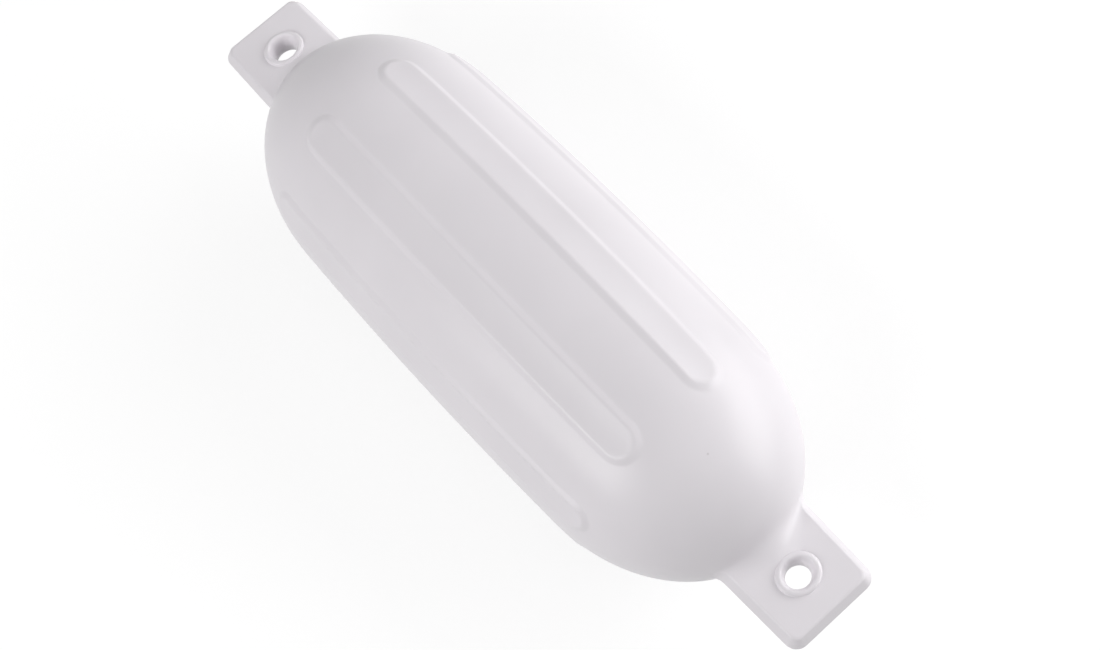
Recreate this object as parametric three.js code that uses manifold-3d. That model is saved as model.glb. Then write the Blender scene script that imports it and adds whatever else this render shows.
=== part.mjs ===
// Ribbed boat fender, moulded in one piece, lying on its side.
// Millimetres, +Z up. X runs along the fender, and both tabs lie flat in a level plane.
// The origin is on the ground under the middle of the body.
import * as THREE from "three";
import { LoftGeometry } from "three/addons/geometries/LoftGeometry.js";
import { mergeVertices } from "three/addons/utils/BufferGeometryUtils.js";
import Module from "manifold-3d";

// Body: a slightly barrelled middle that runs into an elliptical dome at each end
const bodyRadius = 104.2;
const barrelHalfLength = 151;
const barrelDrop = 2.8;
const domeDepth = 124.5;

// Ribs: raised pads with round ends and a slightly hollow crest, spread evenly round the body
const ribCount = 8;
const ribEdgeHeight = 2;
const ribMiddleHeight = 0.7;
const ribHalfLength = 184;
const ribFootHalfWidth = 17.8;
const ribCrestHalfWidth = 12.4;

// Tabs: flat tongues with sloping sides that meet at the mould's parting plane
const tabReach = 343;
const tabTipHalfWidth = 40.6;
const tabRootHalfWidth = 42;
const tabHalfThickness = 10;
const tabSideRun = 5.5;
const tabCornerRadius = 11;
const tabFaceCornerRadius = 6;
const tabShoulderRadius = 3;
const rootFilletAtSide = 15;
const rootFilletAtFace = 30;

// Eyes: a waisted hole in each tab, inside a raised oval collar on both faces
const eyeToTip = 39;
const eyeThroatRadius = 9.9;
const eyeCrestRadius = 14.4;
const eyeCollarRadius = 17.8;
const eyeCollarHeight = 2.6;
const eyeOvalRatio = 0.9;

// Facets
const roundSteps = 56;
const domeSteps = 11;
const barrelSteps = 3;
const crestSteps = 2;
const eyeSteps = 24;
const arcSteps = 4;

// Joining: how far a seat sinks into what carries it, and how near two points count as one
const seatDepth = 0.4;
const mergeDistance = 1e-4;
const halvings = 40;

const wasm = await Module();
wasm.setup();

// A closed geometry as a solid that can be joined and cut
function solid(geometry) {
  const bare = new THREE.BufferGeometry();
  bare.setAttribute("position", geometry.getAttribute("position"));
  bare.setIndex(geometry.getIndex());
  const merged = mergeVertices(bare, mergeDistance);
  return new wasm.Manifold(
    new wasm.Mesh({
      numProp: 3,
      vertProperties: merged.attributes.position.array,
      triVerts: new Uint32Array(merged.index.array),
    }),
  );
}

// A solid as a geometry with flat facets
function geometryOf(body) {
  const mesh = body.getMesh();
  const geometry = new THREE.BufferGeometry();
  geometry.setAttribute("position", new THREE.BufferAttribute(mesh.vertProperties, 3));
  geometry.setIndex(new THREE.BufferAttribute(mesh.triVerts, 1));
  const flat = geometry.toNonIndexed();
  flat.computeVertexNormals();
  return flat;
}

// The dome is part of an ellipse centred on the axis, a little inside the barrel's end,
// so that both curves have one slope where they meet.
const barrelEndRadius = bodyRadius - barrelDrop;
const barrelEndSlope = (2 * barrelDrop) / barrelHalfLength;
const domeLead = (barrelEndSlope * domeDepth ** 2) / (barrelEndRadius - 2 * barrelEndSlope * domeDepth);
const domeCentre = barrelHalfLength - domeLead;
const domeAxial = domeDepth + domeLead;
const domeRadial = barrelEndRadius / Math.sqrt(1 - (domeLead / domeAxial) ** 2);
const domeStartAngle = Math.acos(domeLead / domeAxial);

// A point of the dome's outline as (radius, distance along the axis); angle 0 is the end on the axis
function domePoint(angle) {
  return new THREE.Vector2(domeRadial * Math.sin(angle), domeCentre + domeAxial * Math.cos(angle));
}

// The direction that points straight out of the dome's outline there
function domeNormal(angle) {
  return new THREE.Vector2(Math.sin(angle) / domeRadial, Math.cos(angle) / domeAxial).normalize();
}

// The body's radius at a distance along the axis
function radiusAt(x) {
  const along = Math.abs(x);
  if (along <= barrelHalfLength) return bodyRadius - barrelDrop * (along / barrelHalfLength) ** 2;
  return domeRadial * Math.sqrt(1 - ((along - domeCentre) / domeAxial) ** 2);
}

// Body of revolution, turned from the upright axis of the lathe to X.
// It is turned by half a facet too, so that flat facets face down, up and sideways.
const facetHalfAngle = Math.PI / roundSteps;
function makeBody() {
  const half = [];
  for (let i = 0; i < barrelSteps; i++) {
    const x = (barrelHalfLength * i) / barrelSteps;
    half.push(new THREE.Vector2(radiusAt(x), x));
  }
  for (let i = 0; i < domeSteps; i++) {
    half.push(domePoint(domeStartAngle * (1 - i / domeSteps)));
  }
  half.push(new THREE.Vector2(0, domeCentre + domeAxial));
  const mirrored = half.slice(1).reverse().map((point) => new THREE.Vector2(point.x, -point.y));
  const lathe = new THREE.LatheGeometry([...mirrored, ...half], roundSteps, facetHalfAngle);
  return solid(lathe.rotateZ(-Math.PI / 2));
}

// A rib's height at a distance from its middle line: a hollow crest, then a sloping side
const ribRoundCentre = ribHalfLength - ribFootHalfWidth;
const ribSideRun = ribFootHalfWidth - ribCrestHalfWidth;
function ribHeightAt(distance) {
  if (distance > ribCrestHalfWidth) return (ribEdgeHeight * (ribFootHalfWidth - distance)) / ribSideRun;
  return ribMiddleHeight + (ribEdgeHeight - ribMiddleHeight) * (distance / ribCrestHalfWidth) ** 2;
}

// Section across a rib, crest up. Its sides run on below the body's surface to seat it.
function ribSection(x) {
  const past = Math.max(Math.abs(x) - ribRoundCentre, 0);
  const foot = Math.sqrt(ribFootHalfWidth ** 2 - past ** 2);
  const crest = Math.sqrt(Math.max(ribCrestHalfWidth ** 2 - past ** 2, 0));
  const toe = foot + (foot - crest) * (seatDepth / ribEdgeHeight);
  const seat = radiusAt(x) - seatDepth;
  const across = [
    [toe, seat - ribEdgeHeight],
    [toe, seat],
  ];
  for (let i = crestSteps; i >= -crestSteps; i--) {
    const arc = (crest * i) / crestSteps;
    across.push([arc, radiusAt(x) + ribHeightAt(Math.hypot(past, arc))]);
  }
  across.push([-toe, seat], [-toe, seat - ribEdgeHeight]);
  return across.map(([arc, radius]) => {
    const angle = arc / bodyRadius;
    return new THREE.Vector3(x, radius * Math.sin(angle), radius * Math.cos(angle));
  });
}

// One rib as a loft of such sections: a straight middle, then round ends for the crest and for the foot
function makeRib() {
  const half = [];
  for (let i = 0; i < barrelSteps; i++) {
    half.push((ribRoundCentre * i) / barrelSteps);
  }
  for (let i = 0; i <= arcSteps; i++) {
    half.push(ribRoundCentre + ribCrestHalfWidth * Math.sin((i / arcSteps) * (Math.PI / 2)));
  }
  const crestEndAngle = Math.asin(ribCrestHalfWidth / ribFootHalfWidth);
  for (let i = 1; i <= arcSteps; i++) {
    const angle = crestEndAngle + (i / (arcSteps + 1)) * (Math.PI / 2 - crestEndAngle);
    half.push(ribRoundCentre + ribFootHalfWidth * Math.sin(angle));
  }
  const stations = [...half.slice(1).reverse().map((x) => -x), ...half];
  return solid(new LoftGeometry(stations.map(ribSection), { capStart: true, capEnd: true }));
}

// How far the tab's outline has drawn in from the parting plane at each height, up to the face.
// The sloping side rounds over into the face through the shoulder.
const sideLean = Math.atan(tabSideRun / tabHalfThickness);
const shoulderReach = tabShoulderRadius * Math.tan((Math.PI / 2 - sideLean) / 2);
function tabLevels() {
  const levels = [{ inset: 0, height: 0 }];
  for (let i = 0; i <= arcSteps; i++) {
    const turn = sideLean + (i / arcSteps) * (Math.PI / 2 - sideLean);
    levels.push({
      inset: tabSideRun + shoulderReach - tabShoulderRadius * Math.cos(turn),
      height: tabHalfThickness - tabShoulderRadius * (1 - Math.sin(turn)),
    });
  }
  return levels;
}

// The tab's half width at a distance along the axis, on the parting plane
function tabHalfWidthAt(x) {
  return THREE.MathUtils.mapLinear(x, domeCentre + domeAxial, tabReach, tabRootHalfWidth, tabTipHalfWidth);
}

// The tab's outline in plan at one height: straight sides from inside the dome, two round corners and the tip
function tabOutline({ inset, height }) {
  const root = domeCentre;
  const tip = tabReach - inset;
  const corner = Math.max(tabCornerRadius - inset, tabFaceCornerRadius);
  const right = [new THREE.Vector3(root, tabHalfWidthAt(root) - inset, height)];
  for (let i = 0; i <= arcSteps; i++) {
    const angle = Math.PI / 2 - (i / arcSteps) * (Math.PI / 2);
    const x = tip - corner + corner * Math.cos(angle);
    const y = tabHalfWidthAt(tip - corner) - inset - corner + corner * Math.sin(angle);
    right.push(new THREE.Vector3(x, y, height));
  }
  const left = right.map((point) => new THREE.Vector3(point.x, -point.y, height)).reverse();
  return [...right, ...left].reverse();
}

function makeTab() {
  const upper = tabLevels();
  const lower = upper.slice(1).reverse().map(({ inset, height }) => ({ inset, height: -height }));
  return solid(new LoftGeometry([...lower, ...upper].map(tabOutline), { capStart: true, capEnd: true }));
}

// The tab's section where it meets the dome, as points (Y, Z) all the way round
function tabRootSection() {
  const side = tabLevels().map(({ inset, height }) => new THREE.Vector2(tabRootHalfWidth - inset, height));
  const faceEdge = side.at(-1);
  const face = [];
  for (let i = 1; i <= arcSteps; i++) {
    face.push(new THREE.Vector2(faceEdge.x * (1 - i / arcSteps), faceEdge.y));
  }
  const quarter = [...side, ...face];
  const half = [...quarter, ...quarter.slice(0, -1).reverse().map((point) => new THREE.Vector2(-point.x, point.y))];
  return [...half, ...half.slice(1, -1).reverse().map((point) => new THREE.Vector2(point.x, -point.y))];
}

// The root's fillet is wide on the faces and narrows near their edges to what it has round the sides
function rootFilletAt(point) {
  const faceHalfWidth = tabRootHalfWidth - tabLevels().at(-1).inset;
  const share = Math.max(1 - (point.x / faceHalfWidth) ** 4, 0);
  return THREE.MathUtils.lerp(rootFilletAtSide, rootFilletAtFace, share);
}

// The dome angle at which a ball of the fillet's radius touches both the dome and a tab wall at this radius
function filletContact(wallRadius, fillet) {
  let low = 0;
  let high = domeStartAngle;
  for (let i = 0; i < halvings; i++) {
    const middle = (low + high) / 2;
    const ball = domePoint(middle).addScaledVector(domeNormal(middle), fillet);
    if (ball.x < wallRadius + fillet) low = middle;
    else high = middle;
  }
  return low;
}

// Hollow fillet round the tab's root, as a loft of rings from the dome to the tab
function makeRootFillet() {
  const rings = [];
  const section = tabRootSection();
  for (let i = 0; i <= arcSteps; i++) {
    rings.push(
      section.map((point) => {
        const wallRadius = point.length();
        const fillet = rootFilletAt(point);
        const angle = filletContact(wallRadius, fillet);
        const normal = domeNormal(angle);
        const ball = domePoint(angle).addScaledVector(normal, fillet);
        const from = Math.atan2(-normal.y, -normal.x);
        const turn = from + (i / arcSteps) * (-Math.PI - from);
        const reach = i === 0 || i === arcSteps ? fillet + seatDepth : fillet;
        const radius = ball.x + reach * Math.cos(turn);
        const x = ball.y + reach * Math.sin(turn);
        return new THREE.Vector3(x, (point.x / wallRadius) * radius, (point.y / wallRadius) * radius);
      }),
    );
  }
  return solid(new LoftGeometry(rings, { capStart: true, capEnd: true }));
}

// Eye: the waisted hole and its raised collar are one ring, set into a plain bore through the tab
const eyeCentre = tabReach - eyeToTip;
const eyeHalfHeight = tabHalfThickness + eyeCollarHeight;
function seatEye(geometry) {
  return solid(geometry.rotateX(Math.PI / 2).scale(eyeOvalRatio, 1, 1).translate(eyeCentre, 0, 0));
}

// The bore is as tall as the body, so that it opens through whatever stands over the tab there
function makeEyeBore() {
  return seatEye(new THREE.CylinderGeometry(eyeCrestRadius, eyeCrestRadius, 2 * bodyRadius, eyeSteps));
}

function makeEyeRing() {
  const waist = [];
  for (let i = -arcSteps; i <= arcSteps; i++) {
    const angle = (i / arcSteps) * (Math.PI / 2);
    const radius = eyeCrestRadius - (eyeCrestRadius - eyeThroatRadius) * Math.cos(angle);
    waist.push(new THREE.Vector2(radius, eyeHalfHeight * Math.sin(angle)));
  }
  const collar = [];
  for (let i = 1; i <= arcSteps; i++) {
    const angle = (i / arcSteps) * (Math.PI / 2);
    const radius = eyeCrestRadius + (eyeCollarRadius - eyeCrestRadius) * Math.sin(angle);
    collar.push(new THREE.Vector2(radius, tabHalfThickness + eyeCollarHeight * Math.cos(angle)));
  }
  const under = collar.map((point) => new THREE.Vector2(point.x, -point.y)).reverse();
  const profile = [...waist, ...collar, ...under, waist[0]].reverse();
  return seatEye(new THREE.LatheGeometry(profile, eyeSteps));
}

// Everything is one moulding
let moulding = makeBody();
const rib = makeRib();
for (let i = 0; i < ribCount; i++) {
  moulding = moulding.add(rib.rotate([((i + 0.5) * 360) / ribCount, 0, 0]));
}
const bore = makeEyeBore();
moulding = moulding.subtract(bore).subtract(bore.rotate([0, 0, 180]));
const tab = makeTab().add(makeRootFillet()).subtract(bore).add(makeEyeRing());
moulding = moulding.add(tab).add(tab.rotate([0, 0, 180]));

const vinyl = new THREE.MeshStandardMaterial({ color: "#e4e0e4", roughness: 0.4, metalness: 0 });
const fender = new THREE.Mesh(geometryOf(moulding), vinyl);
fender.name = "fender";
fender.position.z = bodyRadius * Math.cos(facetHalfAngle);

const group = new THREE.Group();
group.add(fender);
export default group;
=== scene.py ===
# Ribbed boat fender of white vinyl, lying on its side on a pale floor, in metres
import math
import bmesh
import bpy
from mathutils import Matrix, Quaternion, Vector


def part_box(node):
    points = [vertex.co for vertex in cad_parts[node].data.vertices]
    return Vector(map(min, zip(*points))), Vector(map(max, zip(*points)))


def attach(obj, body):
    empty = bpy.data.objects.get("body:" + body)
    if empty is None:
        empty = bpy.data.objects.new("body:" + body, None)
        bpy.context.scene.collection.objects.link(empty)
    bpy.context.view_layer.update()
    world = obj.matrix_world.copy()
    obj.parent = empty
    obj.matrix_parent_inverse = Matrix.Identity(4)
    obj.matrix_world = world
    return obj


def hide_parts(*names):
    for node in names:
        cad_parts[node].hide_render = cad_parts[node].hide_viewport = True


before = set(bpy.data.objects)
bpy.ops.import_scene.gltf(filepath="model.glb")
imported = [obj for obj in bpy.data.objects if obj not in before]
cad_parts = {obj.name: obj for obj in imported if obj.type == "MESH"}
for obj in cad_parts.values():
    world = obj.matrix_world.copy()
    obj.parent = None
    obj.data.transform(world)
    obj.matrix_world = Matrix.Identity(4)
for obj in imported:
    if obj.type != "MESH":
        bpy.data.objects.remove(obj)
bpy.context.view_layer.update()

# Fender
# The real piece is one hollow moulding of glossy white vinyl: a barrelled body with eight raised ribs,
# a dome at each end, and a flat tab with an oval collared eye at each tip. It is blown full of air.
fender_low, fender_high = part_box("fender")
body_radius = (fender_high[2] - fender_low[2]) / 2
axis_height = (fender_high[2] + fender_low[2]) / 2
tab_reach = fender_high[0]
barrel_half_length = 0.151
barrel_drop = 0.0028
dome_depth = 0.1245

rib_count = 8
rib_edge_height = 0.002
rib_middle_height = 0.0007
rib_half_length = 0.184
rib_foot_half_width = 0.0178
rib_crest_half_width = 0.0124
rib_shoulder_ease = 0.0015
rib_foot_ease = 0.0010

tab_tip_half_width = 0.0406
tab_root_half_width = 0.042
tab_half_thickness = 0.010
tab_side_run = 0.0055
tab_corner_radius = 0.011
tab_face_corner_radius = 0.006
tab_shoulder_radius = 0.003
tab_parting_ease = 0.001
root_fillet_at_side = 0.015
root_fillet_at_face = 0.030
face_margin = 0.0001

eye_to_tip = 0.039
eye_throat_radius = 0.0099
eye_crest_radius = 0.0144
eye_collar_radius = 0.0172
eye_collar_height = 0.0026
eye_foot_radius = 0.0008
eye_oval_ratio = 0.9
weld = 1e-6

# The dome is part of an ellipse that leaves the barrel with the barrel's own slope
barrel_end_radius = body_radius - barrel_drop
barrel_end_slope = 2 * barrel_drop / barrel_half_length
dome_lead = barrel_end_slope * dome_depth**2 / (barrel_end_radius - 2 * barrel_end_slope * dome_depth)
dome_centre = barrel_half_length - dome_lead
dome_axial = dome_depth + dome_lead
dome_radial = barrel_end_radius / math.sqrt(1 - (dome_lead / dome_axial) ** 2)


def spaced(stops, counts):
    """Values from the first stop to the last, with each stretch cut evenly into its count."""
    values = [stops[0]]
    for low, high, count in zip(stops, stops[1:], counts):
        values += [low + (high - low) * step / count for step in range(1, count + 1)]
    return values


def eased(past, ease):
    """Zero before a corner and past after it, with a rounded bend that reaches ease to each side."""
    if past <= -ease:
        return 0.0
    if past >= ease:
        return past
    return (past + ease) ** 2 / (4 * ease)


def body_radius_at(x):
    if x <= barrel_half_length:
        return body_radius - barrel_drop * (x / barrel_half_length) ** 2
    return dome_radial * math.sqrt(1 - ((x - dome_centre) / dome_axial) ** 2)


def rib_height_at(x, angle):
    """How far the ribs stand out of the body: a crest that is a little hollow, between sloping sides."""
    pitch = 2 * math.pi / rib_count
    across = body_radius * (angle % pitch - pitch / 2)
    past = max(x - (rib_half_length - rib_foot_half_width), 0)
    distance = math.hypot(past, across)
    rise = 2 * (rib_edge_height - rib_middle_height) / rib_crest_half_width
    fall = rib_edge_height / (rib_foot_half_width - rib_crest_half_width)
    if distance < rib_crest_half_width:
        height = rib_middle_height + rise * distance**2 / (2 * rib_crest_half_width)
    else:
        height = rib_edge_height + rise * (distance - rib_crest_half_width)
    height -= (rise + fall) * eased(distance - rib_crest_half_width, rib_shoulder_ease)
    return height + fall * eased(distance - rib_foot_half_width, rib_foot_ease)


def dome_ball(angle, fillet):
    """Centre of a ball of the fillet's radius that touches the dome, and the dome's outward direction."""
    outward = Vector((math.sin(angle) / dome_radial, math.cos(angle) / dome_axial)).normalized()
    touch = Vector((dome_radial * math.sin(angle), dome_centre + dome_axial * math.cos(angle)))
    return touch + fillet * outward, outward


fillet_halvings = 30


def fillet_contact(wall_radius, fillet):
    """The dome angle at which that ball also touches a tab wall this far from the axis."""
    low, high = 0.0, math.pi / 2
    for _ in range(fillet_halvings):
        middle = (low + high) / 2
        if dome_ball(middle, fillet)[0].x < wall_radius + fillet:
            low = middle
        else:
            high = middle
    return low


body_end = dome_centre + dome_axial

# A quarter turn of the body, from the top of the gap between two ribs to the next tab edge
half_pitch = math.pi / rib_count * body_radius
rib_zone = rib_foot_half_width + rib_foot_ease
crest_zone = rib_crest_half_width - rib_shoulder_ease
gap_steps = 6
rib_side_steps = 17
crest_steps = 5
half_sector = spaced(
    [0, half_pitch - rib_zone, half_pitch - crest_zone, half_pitch],
    [gap_steps, rib_side_steps, crest_steps],
)
sector = half_sector + [2 * half_pitch - step for step in reversed(half_sector[:-1])]
body_angles = [step / body_radius for step in sector + [2 * half_pitch + step for step in sector[1:]]]
quarter = len(body_angles) - 1

# The tab's side, from the parting edge over the shoulder to the face, as (inset, height)
side_lean = math.atan(tab_side_run / tab_half_thickness)
shoulder_reach = tab_shoulder_radius * math.tan((math.pi / 2 - side_lean) / 2)
shoulder_height = tab_half_thickness - tab_shoulder_radius * (1 - math.sin(side_lean))
parting_steps = 4
side_face_steps = 13
shoulder_steps = 12
tab_levels = []
for height in spaced([0, tab_parting_ease, shoulder_height], [parting_steps, side_face_steps]):
    tab_levels.append((math.tan(side_lean) * 2 * (eased(height, tab_parting_ease) - height / 2), height))
for turn in spaced([side_lean, math.pi / 2], [shoulder_steps])[1:]:
    inset = tab_side_run + shoulder_reach - tab_shoulder_radius * math.cos(turn)
    tab_levels.append((inset, tab_half_thickness - tab_shoulder_radius * (1 - math.sin(turn))))
tab_levels.append((tab_levels[-1][0] + face_margin, tab_half_thickness))
side_steps = len(tab_levels) - 1

# The same quarter turn round the tab's root, as points (Y, Z)
face_edge = tab_root_half_width - tab_levels[-1][0]
root_section = [(y, tab_half_thickness) for y in spaced([0, face_edge], [quarter - side_steps])]
root_section += [(tab_root_half_width - inset, height) for inset, height in reversed(tab_levels[:-1])]
root_contacts = [fillet_contact(math.hypot(*point), root_fillet_at_side) for point in root_section]


def lifted(point):
    """Moves a point out to the wider fillet in the middle of the tab's face, where that stands over it."""
    if abs(point.z) * face_edge <= abs(point.y) * tab_half_thickness:
        return point
    reach = math.hypot(point.y, point.z)
    share = 1 - (tab_half_thickness * point.y / (point.z * face_edge)) ** 4
    fillet = root_fillet_at_side + (root_fillet_at_face - root_fillet_at_side) * share
    ball, outward = dome_ball(fillet_contact(tab_half_thickness * reach / abs(point.z), fillet), fillet)
    if not ball.y - fillet * outward.y < point.x < ball.y:
        return point
    surface = ball.x - math.sqrt(fillet**2 - (ball.y - point.x) ** 2)
    out = max(surface / reach, 1)
    return Vector((point.x, point.y * out, point.z * out))


# Stations from the middle of the body to the tab
straight_rib_steps = 12
round_crest_steps = 12
rib_end_steps = 16
rib_round_centre = rib_half_length - rib_foot_half_width
stations = spaced(
    [0, rib_round_centre, rib_round_centre + crest_zone, rib_round_centre + rib_zone],
    [straight_rib_steps, round_crest_steps, rib_end_steps],
)
dome_start = math.acos((stations[-1] - dome_centre) / dome_axial)
dome_steps = 24
fillet_steps = 9
landing = 0.0002


def fold(line):
    """Where a line round the fender falls in its quarter turn, and the signs of Y and Z there."""
    turn, step = divmod(line % (4 * quarter), quarter)
    across = 1 if turn < 2 else -1
    up = 1 if turn in (0, 3) else -1
    return (step if turn in (0, 2) else quarter - step), across, up


def skin_point(line, station):
    """A point of the fender's skin, from the middle of the body to just past the tab's root fillet."""
    step, across, up = fold(line)
    angle = body_angles[step]
    if station < len(stations):
        x = stations[station]
        radius = body_radius_at(x) + rib_height_at(x, angle)
    else:
        wall = root_section[step]
        wall_radius = math.hypot(*wall)
        wall_angle = math.atan2(*wall)
        contact = root_contacts[step]
        station -= len(stations) - 1
        if station <= dome_steps:
            along = station / dome_steps
            turn = dome_start + (contact - dome_start) * along
            angle += (wall_angle - angle) * along**2 * (3 - 2 * along)
            radius, x = dome_radial * math.sin(turn), dome_centre + dome_axial * math.cos(turn)
        else:
            angle = wall_angle
            ball, outward = dome_ball(contact, root_fillet_at_side)
            start = math.atan2(-outward.y, -outward.x)
            turn = start + (-math.pi - start) * min((station - dome_steps) / fillet_steps, 1)
            radius = ball.x + root_fillet_at_side * math.cos(turn)
            x = ball.y + root_fillet_at_side * math.sin(turn)
            if station > dome_steps + fillet_steps:
                x += landing
    return Vector((x, across * radius * math.sin(angle), up * radius * math.cos(angle)))


def bent_grid(mesh, columns, rows, place):
    """Adds a flat grid and moves each of its corners to place(column, row)."""
    corners = bmesh.ops.create_grid(mesh, x_segments=columns, y_segments=rows, size=0.5)["verts"]
    for corner in corners:
        column = round((corner.co.x + 0.5) * columns)
        row = round((corner.co.y + 0.5) * rows)
        corner.co = place(column, row)


last_station = len(stations) - 1 + dome_steps + fillet_steps + 1
corner_steps = 12
straight_steps = 24
tip_steps = 6
half_path = straight_steps + corner_steps + tip_steps


def tab_side_point(level, path):
    """A point of the tab's side band, which runs from the root round the tip and back to the root."""
    across = 1 if path <= half_path else -1
    path = min(path, 2 * half_path - path)
    inset, height = tab_levels[abs(level - side_steps)]
    up = 1 if level > side_steps else -1
    tip = tab_reach - inset
    corner = max(tab_corner_radius - inset, tab_face_corner_radius)
    tip_width = tab_tip_half_width - inset
    root = skin_point(quarter - (level - side_steps), last_station)
    if path <= straight_steps:
        share = path / straight_steps
        x = root.x + (tip - corner - root.x) * share
        y = root.y + (tip_width - root.y) * share
    elif path <= straight_steps + corner_steps:
        turn = (path - straight_steps) / corner_steps * math.pi / 2
        x = tip - corner + corner * math.sin(turn)
        y = tip_width - corner + corner * math.cos(turn)
    else:
        x = tip
        y = (tip_width - corner) * (half_path - path) / tip_steps
    return Vector((x, across * y, up * height))


# The eye's ring in section, from the tab's upper face over the collar and through the waist to the lower
# face, as (radius, height)
foot_steps = 6
collar_steps = 10
waist_steps = 16
crest_height = tab_half_thickness + eye_collar_height
eye_section = [(eye_collar_radius + eye_foot_radius + face_margin, tab_half_thickness)]
for turn in spaced([0, math.pi / 2], [foot_steps]):
    away = eye_foot_radius * (1 - math.sin(turn))
    height = tab_half_thickness + eye_foot_radius * (1 - math.cos(turn))
    eye_section.append((eye_collar_radius + away, height))
for turn in spaced([0, math.pi / 2], [collar_steps]):
    wall = eye_collar_radius - eye_crest_radius
    rise = eye_collar_height - eye_foot_radius
    height = tab_half_thickness + eye_foot_radius + rise * math.sin(turn)
    eye_section.append((eye_crest_radius + wall * math.cos(turn), height))
for turn in spaced([math.pi / 2, 0], [waist_steps])[1:]:
    waist = eye_crest_radius - (eye_crest_radius - eye_throat_radius) * math.cos(turn)
    eye_section.append((waist, crest_height * math.sin(turn)))
eye_section += [(radius, -height) for radius, height in reversed(eye_section[:-1])]
eye_centre = tab_reach - eye_to_tip
eye_turns = 96


def eye_point(turn, step):
    angle = 2 * math.pi * turn / eye_turns
    radius, height = eye_section[step]
    return Vector((eye_centre + eye_oval_ratio * radius * math.cos(angle), radius * math.sin(angle), height))


# The skin, the tab's side band and the eye's ring are bent grids, welded edge to edge. The flat faces of the
# tab are then filled in between, cut across so that they can bend, and lifted to the root's wider fillet.
face_cuts = 20
skin = bmesh.new()
bent_grid(skin, 4 * quarter, last_station, skin_point)
bent_grid(skin, 2 * side_steps, 2 * half_path, tab_side_point)
bent_grid(skin, eye_turns, len(eye_section) - 1, eye_point)
bmesh.ops.remove_doubles(skin, verts=skin.verts, dist=weld)
for up in (1, -1):
    face_height = up * tab_half_thickness
    rim = [
        edge
        for edge in skin.edges
        if edge.is_boundary and all(abs(corner.co.z - face_height) < weld for corner in edge.verts)
    ]
    fill = bmesh.ops.triangle_fill(skin, use_beauty=True, edges=rim, normal=(0, 0, up))["geom"]
    for x in spaced([body_end, body_end + root_fillet_at_face], [face_cuts]):
        faces = [piece for piece in fill if isinstance(piece, bmesh.types.BMFace)]
        edges = [edge for face in faces for edge in face.edges]
        corners = [corner for face in faces for corner in face.verts]
        pieces = list(dict.fromkeys(faces + edges + corners))
        cut = bmesh.ops.bisect_plane(skin, geom=pieces, dist=weld, plane_co=(x, 0, 0), plane_no=(1, 0, 0))
        fill = cut["geom"]
tab_zone = body_end - root_fillet_at_face
for corner in skin.verts:
    from_eye = math.hypot((corner.co.x - eye_centre) / eye_oval_ratio, corner.co.y)
    if corner.co.x > tab_zone and from_eye > eye_crest_radius + weld:
        corner.co = lifted(corner.co)
bmesh.ops.mirror(skin, geom=skin.verts[:] + skin.edges[:] + skin.faces[:], merge_dist=weld, axis="X")
bmesh.ops.translate(skin, verts=skin.verts, vec=(0, 0, axis_height))
bmesh.ops.recalc_face_normals(skin, faces=skin.faces)
for face in skin.faces:
    face.smooth = True
fender_mesh = bpy.data.meshes.new("fender_skin")
skin.to_mesh(fender_mesh)
skin.free()
fender = bpy.data.objects.new("fender_skin", fender_mesh)
bpy.context.scene.collection.objects.link(fender)

vinyl_colour = (0.795, 0.764, 0.797, 1)
vinyl_shade = (0.76, 0.73, 0.762, 1)
speck_colour = (0.58, 0.55, 0.57, 1)
# Pale colour of the painted highlight along the crease where each dome folds into its tab
crease_highlight_colour = (0.93, 0.91, 0.93, 1)
cloud_scale = 9
grain_scale = 260
smoothest = 0.28
roughest = 0.38
bump_strength = 0.05
bump_depth = 0.0004
vinyl = bpy.data.materials.new("white_vinyl")
vinyl.use_nodes = True
nodes = vinyl.node_tree.nodes
links = vinyl.node_tree.links
shader = nodes["Principled BSDF"]
shader.inputs["IOR"].default_value = 1.43
place = nodes.new("ShaderNodeTexCoord")

# Slow change of tone over the skin, where the wall is a little thicker or thinner
clouds = nodes.new("ShaderNodeTexNoise")
clouds.inputs["Scale"].default_value = cloud_scale
clouds.inputs["Detail"].default_value = 3
links.new(place.outputs["Object"], clouds.inputs["Vector"])
tone = nodes.new("ShaderNodeMix")
tone.data_type = "RGBA"
tone.inputs["A"].default_value = vinyl_shade
tone.inputs["B"].default_value = vinyl_colour
tone_range = nodes.new("ShaderNodeMapRange")
tone_range.inputs["From Min"].default_value = 0.3
tone_range.inputs["From Max"].default_value = 0.6
links.new(clouds.outputs["Fac"], tone_range.inputs["Value"])
links.new(tone_range.outputs["Result"], tone.inputs["Factor"])


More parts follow.
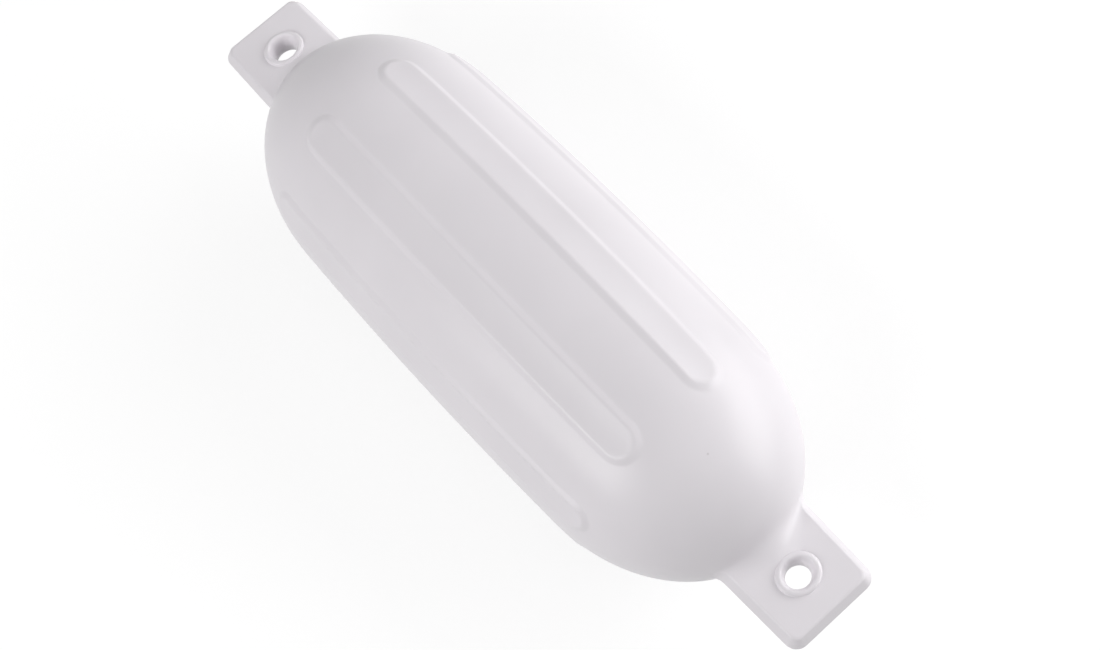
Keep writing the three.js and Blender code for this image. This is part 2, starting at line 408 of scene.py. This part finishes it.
def add_mark(colour, mark_colour, start, end, half_width, strength):
    """Lays a speck, or a fine painted highlight line from start to end, over the colour so far and returns
    the new colour.
    """
    start, end = (Vector((x, y, axis_height + z)) for x, y, z in (start, end))
    run = end - start
    away = nodes.new("ShaderNodeVectorMath")
    away.operation = "SUBTRACT"
    away.inputs[1].default_value = start
    links.new(place.outputs["Object"], away.inputs[0])
    along = nodes.new("ShaderNodeVectorMath")
    along.operation = "DOT_PRODUCT"
    along.inputs[1].default_value = run / run.length_squared if run.length else run
    links.new(away.outputs["Vector"], along.inputs[0])
    share = nodes.new("ShaderNodeClamp")
    links.new(along.outputs["Value"], share.inputs["Value"])
    nearest = nodes.new("ShaderNodeVectorMath")
    nearest.operation = "SCALE"
    nearest.inputs[0].default_value = run
    links.new(share.outputs["Result"], nearest.inputs["Scale"])
    distance = nodes.new("ShaderNodeVectorMath")
    distance.operation = "DISTANCE"
    links.new(away.outputs["Vector"], distance.inputs[0])
    links.new(nearest.outputs["Vector"], distance.inputs[1])
    mask = nodes.new("ShaderNodeMapRange")
    mask.interpolation_type = "SMOOTHSTEP"
    mask.inputs["From Min"].default_value = half_width
    mask.inputs["From Max"].default_value = 0
    mask.inputs["To Max"].default_value = strength
    links.new(distance.outputs["Value"], mask.inputs["Value"])
    marked = nodes.new("ShaderNodeMix")
    marked.data_type = "RGBA"
    marked.inputs["B"].default_value = mark_colour
    links.new(colour, marked.inputs["A"])
    links.new(mask.outputs["Result"], marked.inputs["Factor"])
    return marked.outputs["Result"]


# Two dark specks in the near dome, as (place, half width, strength), and a painted highlight: a fine pale
# line of gloss laid into the colour where each dome folds into the root of its tab. Heights are from the
# fender's axis.
specks = [((0.2140, 0.0011, 0.0861), 0.0013, 0.9), ((0.1741, -0.0440, 0.0886), 0.0010, 0.5)]
near_crease_highlight = [(0.2697, 0.0348, 0.0300), (0.2714, 0.0317, 0.0261), (0.2722, 0.0266, 0.0248)]
far_crease_highlight = [(-0.2710, 0.0133, 0.0229), (-0.2729, -0.0109, 0.0171)]
highlight_half_width = 0.0014
highlight_strength = 0.9
skin_colour = tone.outputs["Result"]
for spot, half_width, strength in specks:
    skin_colour = add_mark(skin_colour, speck_colour, spot, spot, half_width, strength)
# Painted highlight: pale lines of gloss laid into the colour along each dome's fold into its tab
for highlight_line in (near_crease_highlight, far_crease_highlight):
    for start, end in zip(highlight_line, highlight_line[1:]):
        skin_colour = add_mark(
            skin_colour, crease_highlight_colour, start, end, highlight_half_width, highlight_strength
        )
links.new(skin_colour, shader.inputs["Base Color"])

# Fine unevenness of the moulded gloss
grain = nodes.new("ShaderNodeTexNoise")
grain.inputs["Scale"].default_value = grain_scale
grain.inputs["Detail"].default_value = 4
links.new(place.outputs["Object"], grain.inputs["Vector"])
gloss = nodes.new("ShaderNodeMapRange")
gloss.inputs["To Min"].default_value = smoothest
gloss.inputs["To Max"].default_value = roughest
links.new(grain.outputs["Fac"], gloss.inputs["Value"])
links.new(gloss.outputs["Result"], shader.inputs["Roughness"])
bump = nodes.new("ShaderNodeBump")
bump.inputs["Strength"].default_value = bump_strength
bump.inputs["Distance"].default_value = bump_depth
links.new(grain.outputs["Fac"], bump.inputs["Height"])
links.new(bump.outputs["Normal"], shader.inputs["Normal"])
fender_mesh.materials.append(vinyl)
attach(fender, "root")
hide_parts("fender")

# Floor
# A plain pale sheet, wide enough to fill the view from every side. The camera sees it brighter than it
# lights the fender, and its shadow stays.
floor_half_width = 12
floor_colour = (0.38, 0.38, 0.38, 1)
floor_lift = 0.7
sheet = bmesh.new()
bmesh.ops.create_grid(sheet, x_segments=1, y_segments=1, size=floor_half_width)
floor_mesh = bpy.data.meshes.new("floor")
sheet.to_mesh(floor_mesh)
sheet.free()
floor = bpy.data.objects.new("floor", floor_mesh)
bpy.context.scene.collection.objects.link(floor)


def seen_only(tree):
    """A value of 1 for what is seen straight, in a gloss or through glass, and 0 for all other light."""
    rays = tree.nodes.new("ShaderNodeLightPath")
    seen = rays.outputs["Is Camera Ray"]
    for kind in ("Is Glossy Ray", "Is Transmission Ray"):
        either = tree.nodes.new("ShaderNodeMath")
        either.operation = "MAXIMUM"
        tree.links.new(seen, either.inputs[0])
        tree.links.new(rays.outputs[kind], either.inputs[1])
        seen = either.outputs["Value"]
    return seen


paper = bpy.data.materials.new("pale_paper")
paper.use_nodes = True
nodes = paper.node_tree.nodes
links = paper.node_tree.links
nodes.clear()
surface = nodes.new("ShaderNodeOutputMaterial")
matt = nodes.new("ShaderNodeBsdfDiffuse")
matt.inputs["Color"].default_value = floor_colour
lift = nodes.new("ShaderNodeEmission")
strength = nodes.new("ShaderNodeMath")
strength.operation = "MULTIPLY"
strength.inputs[1].default_value = floor_lift
both = nodes.new("ShaderNodeAddShader")
links.new(seen_only(paper.node_tree), strength.inputs[0])
links.new(strength.outputs["Value"], lift.inputs["Strength"])
links.new(matt.outputs["BSDF"], both.inputs[0])
links.new(lift.outputs["Emission"], both.inputs[1])
links.new(both.outputs["Shader"], surface.inputs["Surface"])
floor_mesh.materials.append(paper)

# Lamps
# Soft square lamps give an even, plain light. Three stand on the side where the photograph has the fender
# brightest, two low and one higher, and one stands opposite. A dim sky fills the rest, and is white where
# it is seen.
middle = Vector((0, 0, axis_height))
lamp_width = 1.4
sky_light = 0.3
sky_seen = 1.0


def add_lamp(name, position, power):
    lamp = bpy.data.lights.new(name, "AREA")
    lamp.shape = "SQUARE"
    lamp.size = lamp_width
    lamp.energy = power
    holder = bpy.data.objects.new(name, lamp)
    holder.location = position
    holder.rotation_euler = (middle - holder.location).to_track_quat("-Z", "Y").to_euler()
    bpy.context.scene.collection.objects.link(holder)


add_lamp("main_softbox", Vector((1.5, 1.7, 0.75)), 22)
add_lamp("upper_softbox", Vector((0.0, 1.8, 1.3)), 11.5)
add_lamp("side_softbox", Vector((0.0, -1.8, 1.3)), 27)
add_lamp("low_softbox", Vector((0.3, 2.0, 0.45)), 17)

sky = bpy.data.worlds.new("sky")
bpy.context.scene.world = sky
sky.use_nodes = True
backdrop = sky.node_tree.nodes["Background"]
brightness = sky.node_tree.nodes.new("ShaderNodeMapRange")
brightness.inputs["To Min"].default_value = sky_light
brightness.inputs["To Max"].default_value = sky_seen
sky.node_tree.links.new(seen_only(sky.node_tree), brightness.inputs["Value"])
sky.node_tree.links.new(brightness.outputs["Result"], backdrop.inputs["Strength"])
backdrop.inputs["Color"].default_value = (1, 1, 1, 1)

# Camera
# It looks down on the fender from above its near tab, turned so that the fender runs across the frame
# from the upper left to the lower right.
camera_place = Vector((0.4778, -0.1908, axis_height + 1.1783))
camera_aim = Vector((0.0345, -0.0008, axis_height))
camera_roll = math.radians(-19.52)
camera_lens = 54.06
lens = bpy.data.cameras.new("camera")
lens.sensor_width = 36
lens.lens = camera_lens
camera = bpy.data.objects.new("camera", lens)
camera.location = camera_place
turned = (camera_aim - camera_place).to_track_quat("-Z", "Y") @ Quaternion((0, 0, 1), camera_roll)
camera.rotation_euler = turned.to_euler()
bpy.context.scene.collection.objects.link(camera)
bpy.context.scene.camera = camera
bpy.context.scene.view_settings.view_transform = "Standard"
